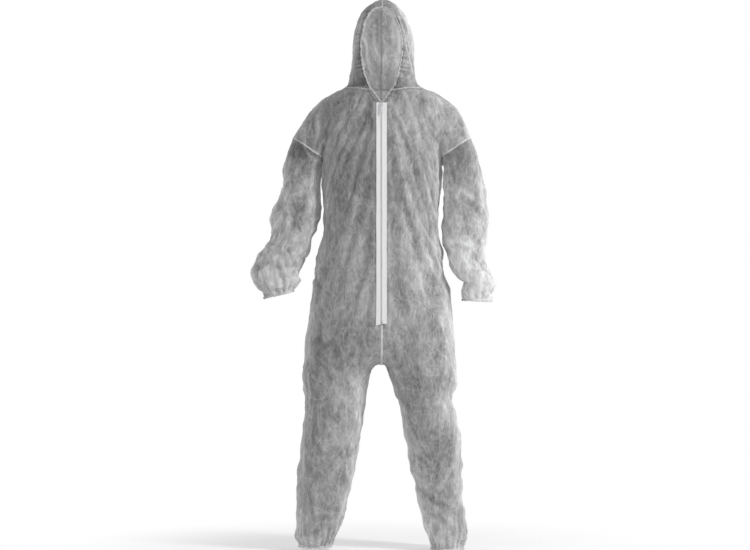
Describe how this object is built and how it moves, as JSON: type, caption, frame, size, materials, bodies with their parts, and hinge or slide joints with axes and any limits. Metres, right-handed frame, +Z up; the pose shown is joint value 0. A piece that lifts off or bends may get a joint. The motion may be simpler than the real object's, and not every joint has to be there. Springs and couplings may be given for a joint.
{
  "type": "hooded protective coverall",
  "caption": "Disposable grey nonwoven hooded coverall in worn shape, zip front, elasticated face opening, wrists and ankles.",
  "frame": {"origin": "centre plane, level with the left ankle opening, under the middle of the body", "axes": "+Z up the body, -Y is the front with the zip, +X is the wearer's left"},
  "size_m": [0.7548, 0.2912, 1.737],
  "materials": {
    "nonwoven_cloth": "matte spunbond nonwoven, slightly see-through",
    "cloth_seam": "matte, doubled nonwoven cloth",
    "zip_tape": "matte white woven tape",
    "thread": "matte white thread",
    "zip_plastic": "satin white nylon coil",
    "zip_metal": "white enamel",
    "elastic": "matte braided elastic"
  },
  "bodies": {
    "torso": {"body_panel_left": "nonwoven_cloth", "body_panel_right": "nonwoven_cloth", "centre_back_seam": "cloth_seam", "centre_front_seam": "cloth_seam", "shoulder_seam_left": "cloth_seam", "shoulder_seam_right": "cloth_seam", "armhole_seam_left": "cloth_seam", "armhole_seam_right": "cloth_seam", "waist_elastic": "elastic", "hood_neck_left": "nonwoven_cloth", "hood_neck_right": "nonwoven_cloth", "hood_neck_back_seam": "cloth_seam", "neck_seam": "cloth_seam", "face_hem_neck": "cloth_seam", "face_elastic_neck": "elastic", "zip_tape_left": "zip_tape", "zip_tape_right": "zip_tape", "zip_coil_left": "zip_plastic", "zip_coil_right": "zip_plastic", "zip_stitching": "thread", "zip_top_stops": "zip_plastic", "zip_bottom_stop": "zip_plastic"},
    "hood": {"hood_panel_left": "nonwoven_cloth", "hood_panel_right": "nonwoven_cloth", "hood_centre_seam": "cloth_seam", "face_hem_crown": "cloth_seam", "face_elastic_crown": "elastic"},
    "zip_slider": {"zip_slider": "zip_metal"},
    "zip_pull_tab": {"zip_pull_tab": "zip_metal"},
    "sleeve_upper_left": {"sleeve_upper_left": "nonwoven_cloth", "sleeve_seam_upper_left": "cloth_seam"},
    "sleeve_lower_left": {"sleeve_lower_left": "nonwoven_cloth", "sleeve_seam_lower_left": "cloth_seam", "wrist_hem_left": "cloth_seam", "wrist_elastic_left": "elastic"},
    "leg_thigh_left": {"leg_thigh_left": "nonwoven_cloth", "inseam_thigh_left": "cloth_seam"},
    "leg_shin_left": {"leg_shin_left": "nonwoven_cloth", "inseam_shin_left": "cloth_seam", "ankle_hem_left": "cloth_seam", "ankle_elastic_left": "elastic"},
    "sleeve_upper_right": {"sleeve_upper_right": "nonwoven_cloth", "sleeve_seam_upper_right": "cloth_seam"},
    "sleeve_lower_right": {"sleeve_lower_right": "nonwoven_cloth", "sleeve_seam_lower_right": "cloth_seam", "wrist_hem_right": "cloth_seam", "wrist_elastic_right": "elastic"},
    "leg_thigh_right": {"leg_thigh_right": "nonwoven_cloth", "inseam_thigh_right": "cloth_seam"},
    "leg_shin_right": {"leg_shin_right": "nonwoven_cloth", "inseam_shin_right": "cloth_seam", "ankle_hem_right": "cloth_seam", "ankle_elastic_right": "elastic"}
  },
  "joints": [
    {"name": "hood_tip", "type": "hinge", "parent": "torso", "child": "hood", "pos_m": [0, 0, 1.478], "axis": [-1, 0, 0], "range_deg": [0, 40]},
    {"name": "shoulder_left", "type": "hinge", "parent": "torso", "child": "sleeve_upper_left", "pos_m": [0.2285, 0, 1.33], "axis": [-1, 0, 0], "range_deg": [-20, 45]},
    {"name": "elbow_left", "type": "hinge", "parent": "sleeve_upper_left", "child": "sleeve_lower_left", "pos_m": [0.272, -0.006, 1.045], "axis": [-1, 0, 0], "range_deg": [0, 50]},
    {"name": "hip_left", "type": "hinge", "parent": "torso", "child": "leg_thigh_left", "pos_m": [0.12, 0, 0.68], "axis": [-1, 0, 0], "range_deg": [-15, 40]},
    {"name": "knee_left", "type": "hinge", "parent": "leg_thigh_left", "child": "leg_shin_left", "pos_m": [0.163, 0, 0.372], "axis": [1, 0, 0], "range_deg": [0, 50]},
    {"name": "shoulder_right", "type": "hinge", "parent": "torso", "child": "sleeve_upper_right", "pos_m": [-0.2285, 0, 1.33], "axis": [-1, 0, 0], "range_deg": [-20, 45]},
    {"name": "elbow_right", "type": "hinge", "parent": "sleeve_upper_right", "child": "sleeve_lower_right", "pos_m": [-0.272, -0.006, 1.045], "axis": [-1, 0, 0], "range_deg": [0, 50]},
    {"name": "hip_right", "type": "hinge", "parent": "torso", "child": "leg_thigh_right", "pos_m": [-0.12, 0, 0.68], "axis": [-1, 0, 0], "range_deg": [-15, 40]},
    {"name": "knee_right", "type": "hinge", "parent": "leg_thigh_right", "child": "leg_shin_right", "pos_m": [-0.163, 0, 0.372], "axis": [1, 0, 0], "range_deg": [0, 50]},
    {"name": "zip_slide", "type": "slide", "parent": "torso", "child": "zip_slider", "axis": [0, -0.0439, -0.999], "range_m": [0, 0.668]},
    {"name": "pull_tab_flip", "type": "hinge", "parent": "zip_slider", "child": "zip_pull_tab", "pos_m": [0, -0.12154, 1.39898], "axis": [-1, 0, 0], "range_deg": [0, 165]}
  ]
}
